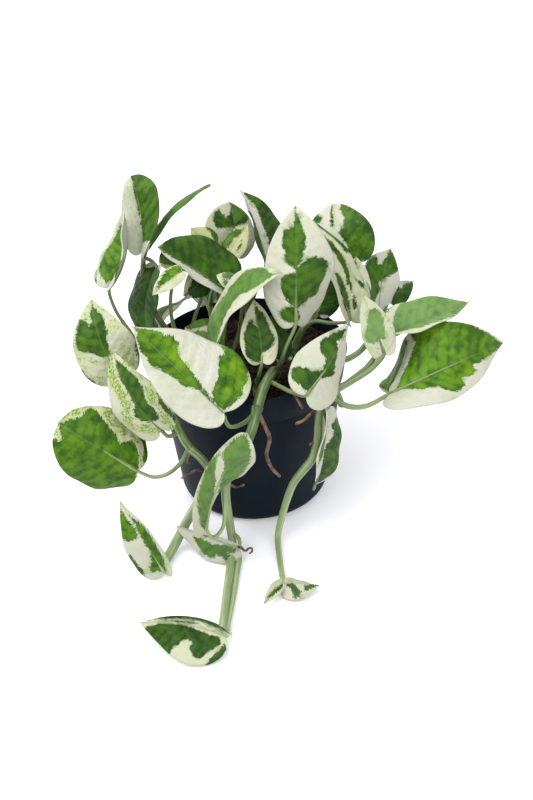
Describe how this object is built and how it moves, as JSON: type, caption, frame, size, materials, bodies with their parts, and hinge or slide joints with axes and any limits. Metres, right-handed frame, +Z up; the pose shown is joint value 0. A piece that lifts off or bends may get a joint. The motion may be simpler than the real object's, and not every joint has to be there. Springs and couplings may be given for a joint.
{
  "type": "potted pothos plant",
  "caption": "Trailing pothos with green and white marbled heart-shaped leaves, rooted in soil in a plain round tapered plastic nursery pot.",
  "frame": {"origin": "centre of the pot's underside, on the surface it stands on", "axes": "+Z up along the pot's axis, -Y towards the side where the longest stems trail, +X to the right seen from that side"},
  "size_m": [0.2633, 0.26, 0.1985],
  "materials": {
    "pot": "satin dark blue-black moulded plastic",
    "soil": "rough damp potting mix, mostly peat and bark",
    "leaf": "waxy green leaves marbled with white and cream"
  },
  "bodies": {
    "root": {"pot": "pot", "soil": "soil", "stem_front": "leaf", "stem_left": "leaf", "stem_right": "leaf", "stem_rear_left": "leaf", "stem_inner_left": "leaf", "stem_arching": "leaf", "stem_middle": "leaf", "stem_low": "leaf", "stem_rear_middle": "leaf", "stem_rear_right": "leaf", "stem_far_right": "leaf", "stem_back_left": "leaf", "stem_back_right": "leaf"}
  },
  "joints": []
}
